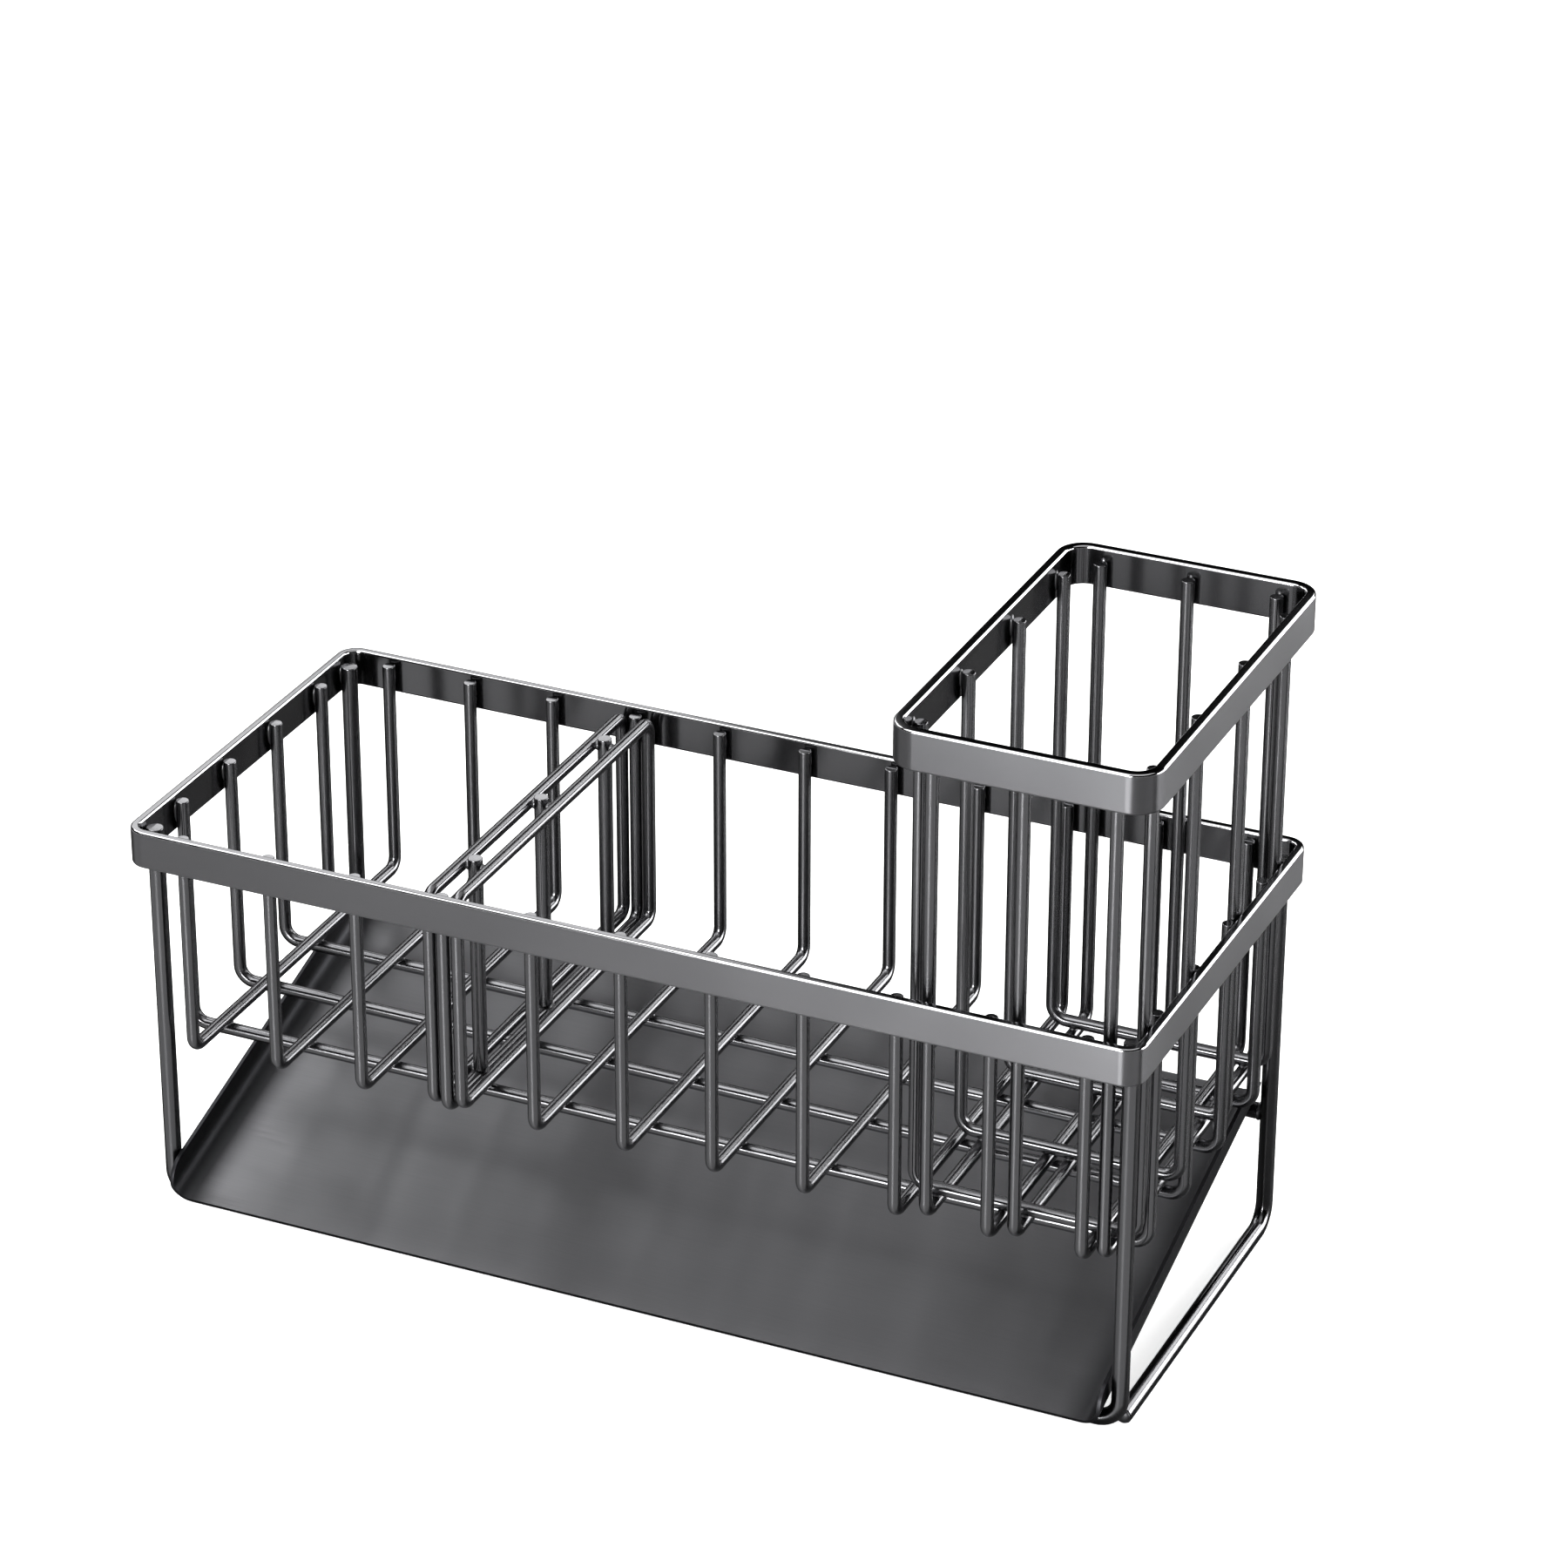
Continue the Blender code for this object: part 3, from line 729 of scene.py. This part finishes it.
brush_rib_nodes = [f"brush_rib_{number}" for number in range(1, BRUSH_RIB_COUNT + 1)]
brush_rib_paths = [u_across_depth(node, WIRE / 2) for node in brush_rib_nodes]
brush_ribs = bend_wires("brush_ribs", brush_rib_paths, WIRE, RIB_BEND, WIRE_STEEL)
fit(brush_ribs, "brush_basket", "gunmetal_wire", *brush_rib_nodes)

brush_cross_nodes = [f"brush_cross_wire_{number}" for number in range(1, BRUSH_CROSS_COUNT + 1)]
brush_cross_paths = [u_across_length(node, WIRE / 2) for node in brush_cross_nodes]
brush_cross = bend_wires("brush_cross_wires", brush_cross_paths, WIRE, CROSS_BEND, WIRE_STEEL)
fit(brush_cross, "brush_basket", "gunmetal_wire", *brush_cross_nodes)

for name, paths, axis in (("brush_rib_welds", brush_rib_paths, AXIS_Y),
                          ("brush_end_welds", brush_cross_paths, AXIS_X)):
    rows = [path[0][1 - axis] for path in paths]
    weld_to_rim(name, "brush_basket", "brush_rim_band", BRUSH_STRIP, rows, axis)
weld_crossings("brush_crossing_welds", "brush_basket", brush_rib_paths, brush_cross_paths)

# Floor and backdrop
# A matt white table top under a white world. The table's colour makes the background, and a faint
# glow of its own lifts it to white for the eye and for what the metal mirrors.
TABLE_REACH = 4.0
TABLE_WHITE = "f2f2f2"
TABLE_ROUGHNESS = 0.9
TABLE_GLOW = 0.6
PURE_WHITE = "ffffff"
WORLD_WHITE = 1.0
WORLD_FILL = 0.55


def seen_directly(tree):
    """One where the eye, a mirror or glass looks at a surface, and nothing where light bounces."""
    ray = put(tree, "ShaderNodeLightPath").outputs
    mirrored = put(tree, "ShaderNodeMath", {
        0: ray["Is Camera Ray"], 1: ray["Is Glossy Ray"]}, operation="MAXIMUM")
    return put(tree, "ShaderNodeMath", {
        0: mirrored.outputs[0], 1: ray["Is Transmission Ray"]}, operation="MAXIMUM").outputs[0]


def table_top():
    """White matt table with a faint glow that only the eye and mirrors see."""
    material, tree, shader = new_finish("matt_white_table")
    shader.inputs["Base Color"].default_value = linear(TABLE_WHITE)
    shader.inputs["Roughness"].default_value = TABLE_ROUGHNESS
    shader.inputs["Specular IOR Level"].default_value = 0.0
    shader.inputs["Emission Color"].default_value = linear(PURE_WHITE)
    glow = put(tree, "ShaderNodeMath", {
        0: seen_directly(tree), 1: TABLE_GLOW}, operation="MULTIPLY")
    tree.links.new(glow.outputs[0], shader.inputs["Emission Strength"])
    return material


table_mesh = bpy.data.meshes.new("table")
table_mesh.from_pydata([
    (-TABLE_REACH, -TABLE_REACH, 0), (TABLE_REACH, -TABLE_REACH, 0),
    (TABLE_REACH, TABLE_REACH, 0), (-TABLE_REACH, TABLE_REACH, 0)], [], [(0, 1, 2, 3)])
table_mesh.materials.append(table_top())
add_object("table", table_mesh)

world = bpy.data.worlds.new("white_studio")
world.use_nodes = True
bpy.context.scene.world = world
sky = world.node_tree.nodes["Background"]
sky.inputs["Color"].default_value = linear(PURE_WHITE)
sky_strength = put(world.node_tree, "ShaderNodeMapRange", {
    "Value": seen_directly(world.node_tree), "To Min": WORLD_FILL, "To Max": WORLD_WHITE})
world.node_tree.links.new(sky_strength.outputs[0], sky.inputs["Strength"])

# Lamps and cards
# Softboxes on stands, each turned to the caddy: one overhead, one low in front with a dimmer one at
# its left edge, one low at the right, two behind and one at the left. Black cloth all round and dark
# cards on the table, which only the metal sees, give it its dark streaks.
CADDY_MIDDLE = Vector((0, 0, 0.08))
# Compass angle and height angle in degrees, distance, width and height in metres, and watts
SOFTBOXES = {
    "overhead_softbox": (-135, 60, 1.2, 0.8, 0.7, 7.5),
    "front_softbox": (-92, 8, 1.6, 0.62, 0.5, 40),
    "front_edge_softbox": (-107, 8, 1.6, 0.24, 0.5, 3.5),
    "right_softbox": (32, 9, 0.9, 0.9, 0.42, 14),
    "back_right_softbox": (74, 31, 1.5, 0.9, 0.28, 6),
    "back_left_softbox": (133, 32, 1.5, 0.85, 0.42, 3.6),
    "left_softbox": (165, 45, 0.8, 0.3, 0.3, 2),
}
CLOTH_AWAY = 2.2
CLOTH_HEIGHT = 3.5
CLOTH_PANELS = 48
CLOTH_BLACK = "0c0c0c"
CARD_LEVEL = 0.5 * MM
CARD_GREY = "a4a4a4"
CARD_BLACK = "484848"
CARD_REACH = 0.75
CARD_FRONT_EDGE = -0.055


def from_middle(azimuth, elevation, away):
    """A place at a distance from the caddy, by its compass angle from +X and its height angle."""
    turn, lift = math.radians(azimuth), math.radians(elevation)
    flat = away * math.cos(lift)
    height = away * math.sin(lift)
    return CADDY_MIDDLE + Vector((flat * math.cos(turn), flat * math.sin(turn), height))


def seen_in_metal_only(name, points, faces, colour):
    """A matt sheet that neither the eye nor the table sees, and that casts no shadow."""
    cloth_mesh = bpy.data.meshes.new(name)
    cloth_mesh.from_pydata(points, [], faces)
    material, _, shader = new_finish(name)
    shader.inputs["Base Color"].default_value = linear(colour)
    shader.inputs["Specular IOR Level"].default_value = 0.0
    cloth_mesh.materials.append(material)
    cloth = add_object(name, cloth_mesh)
    cloth.visible_camera = False
    cloth.visible_diffuse = False
    cloth.visible_shadow = False


for name, (azimuth, elevation, away, wide, tall, watts) in SOFTBOXES.items():
    lamp = bpy.data.lights.new(name, "AREA")
    lamp.shape = "RECTANGLE"
    lamp.size = wide
    lamp.size_y = tall
    lamp.energy = watts
    stand = add_object(name, lamp)
    stand.visible_camera = False
    stand.location = from_middle(azimuth, elevation, away)
    stand.rotation_euler = (CADDY_MIDDLE - stand.location).to_track_quat("-Z", "Y").to_euler()

cloth_points = []
cloth_faces = []
for panel in range(CLOTH_PANELS):
    turn = math.tau * panel / CLOTH_PANELS
    for height in (0, CLOTH_HEIGHT):
        cloth_points.append((CLOTH_AWAY * math.cos(turn), CLOTH_AWAY * math.sin(turn), height))
    first, following = 2 * panel, 2 * ((panel + 1) % CLOTH_PANELS)
    cloth_faces.append((first, following, following + 1, first + 1))
seen_in_metal_only("black_cloth", cloth_points, cloth_faces, CLOTH_BLACK)
for name, near, far, colour in (("grey_card", -CARD_REACH, CARD_FRONT_EDGE, CARD_GREY),
                                ("black_card", CARD_FRONT_EDGE, CARD_REACH, CARD_BLACK)):
    seen_in_metal_only(name, [
        (-CARD_REACH, near, CARD_LEVEL), (CARD_REACH, near, CARD_LEVEL),
        (CARD_REACH, far, CARD_LEVEL), (-CARD_REACH, far, CARD_LEVEL)], [(0, 1, 2, 3)], colour)

# Camera
# A long lens, a little above and to the right of the front, as in the photograph. Its place, aim and
# lens were fitted to points of the caddy there.
CAMERA_PLACE = Vector((0.4732, -1.0101, 0.6815))
CAMERA_AIM = Vector((0.0259, -0.0192, 0.1281))
CAMERA_ROLL = math.radians(0.12)
LENS_MM = 125.98
FILM_MM = 36
NEAREST_SEEN = 0.01

lens = bpy.data.cameras.new("photo_camera")
lens.lens = LENS_MM
lens.sensor_width = FILM_MM
lens.clip_start = NEAREST_SEEN
camera = add_object("photo_camera", lens)
camera.location = CAMERA_PLACE
camera.rotation_mode = "QUATERNION"
aim = (CAMERA_AIM - CAMERA_PLACE).to_track_quat("-Z", "Y")
camera.rotation_quaternion = aim @ Quaternion((0, 0, 1), CAMERA_ROLL)
bpy.context.scene.camera = camera
bpy.context.scene.view_settings.view_transform = "Standard"
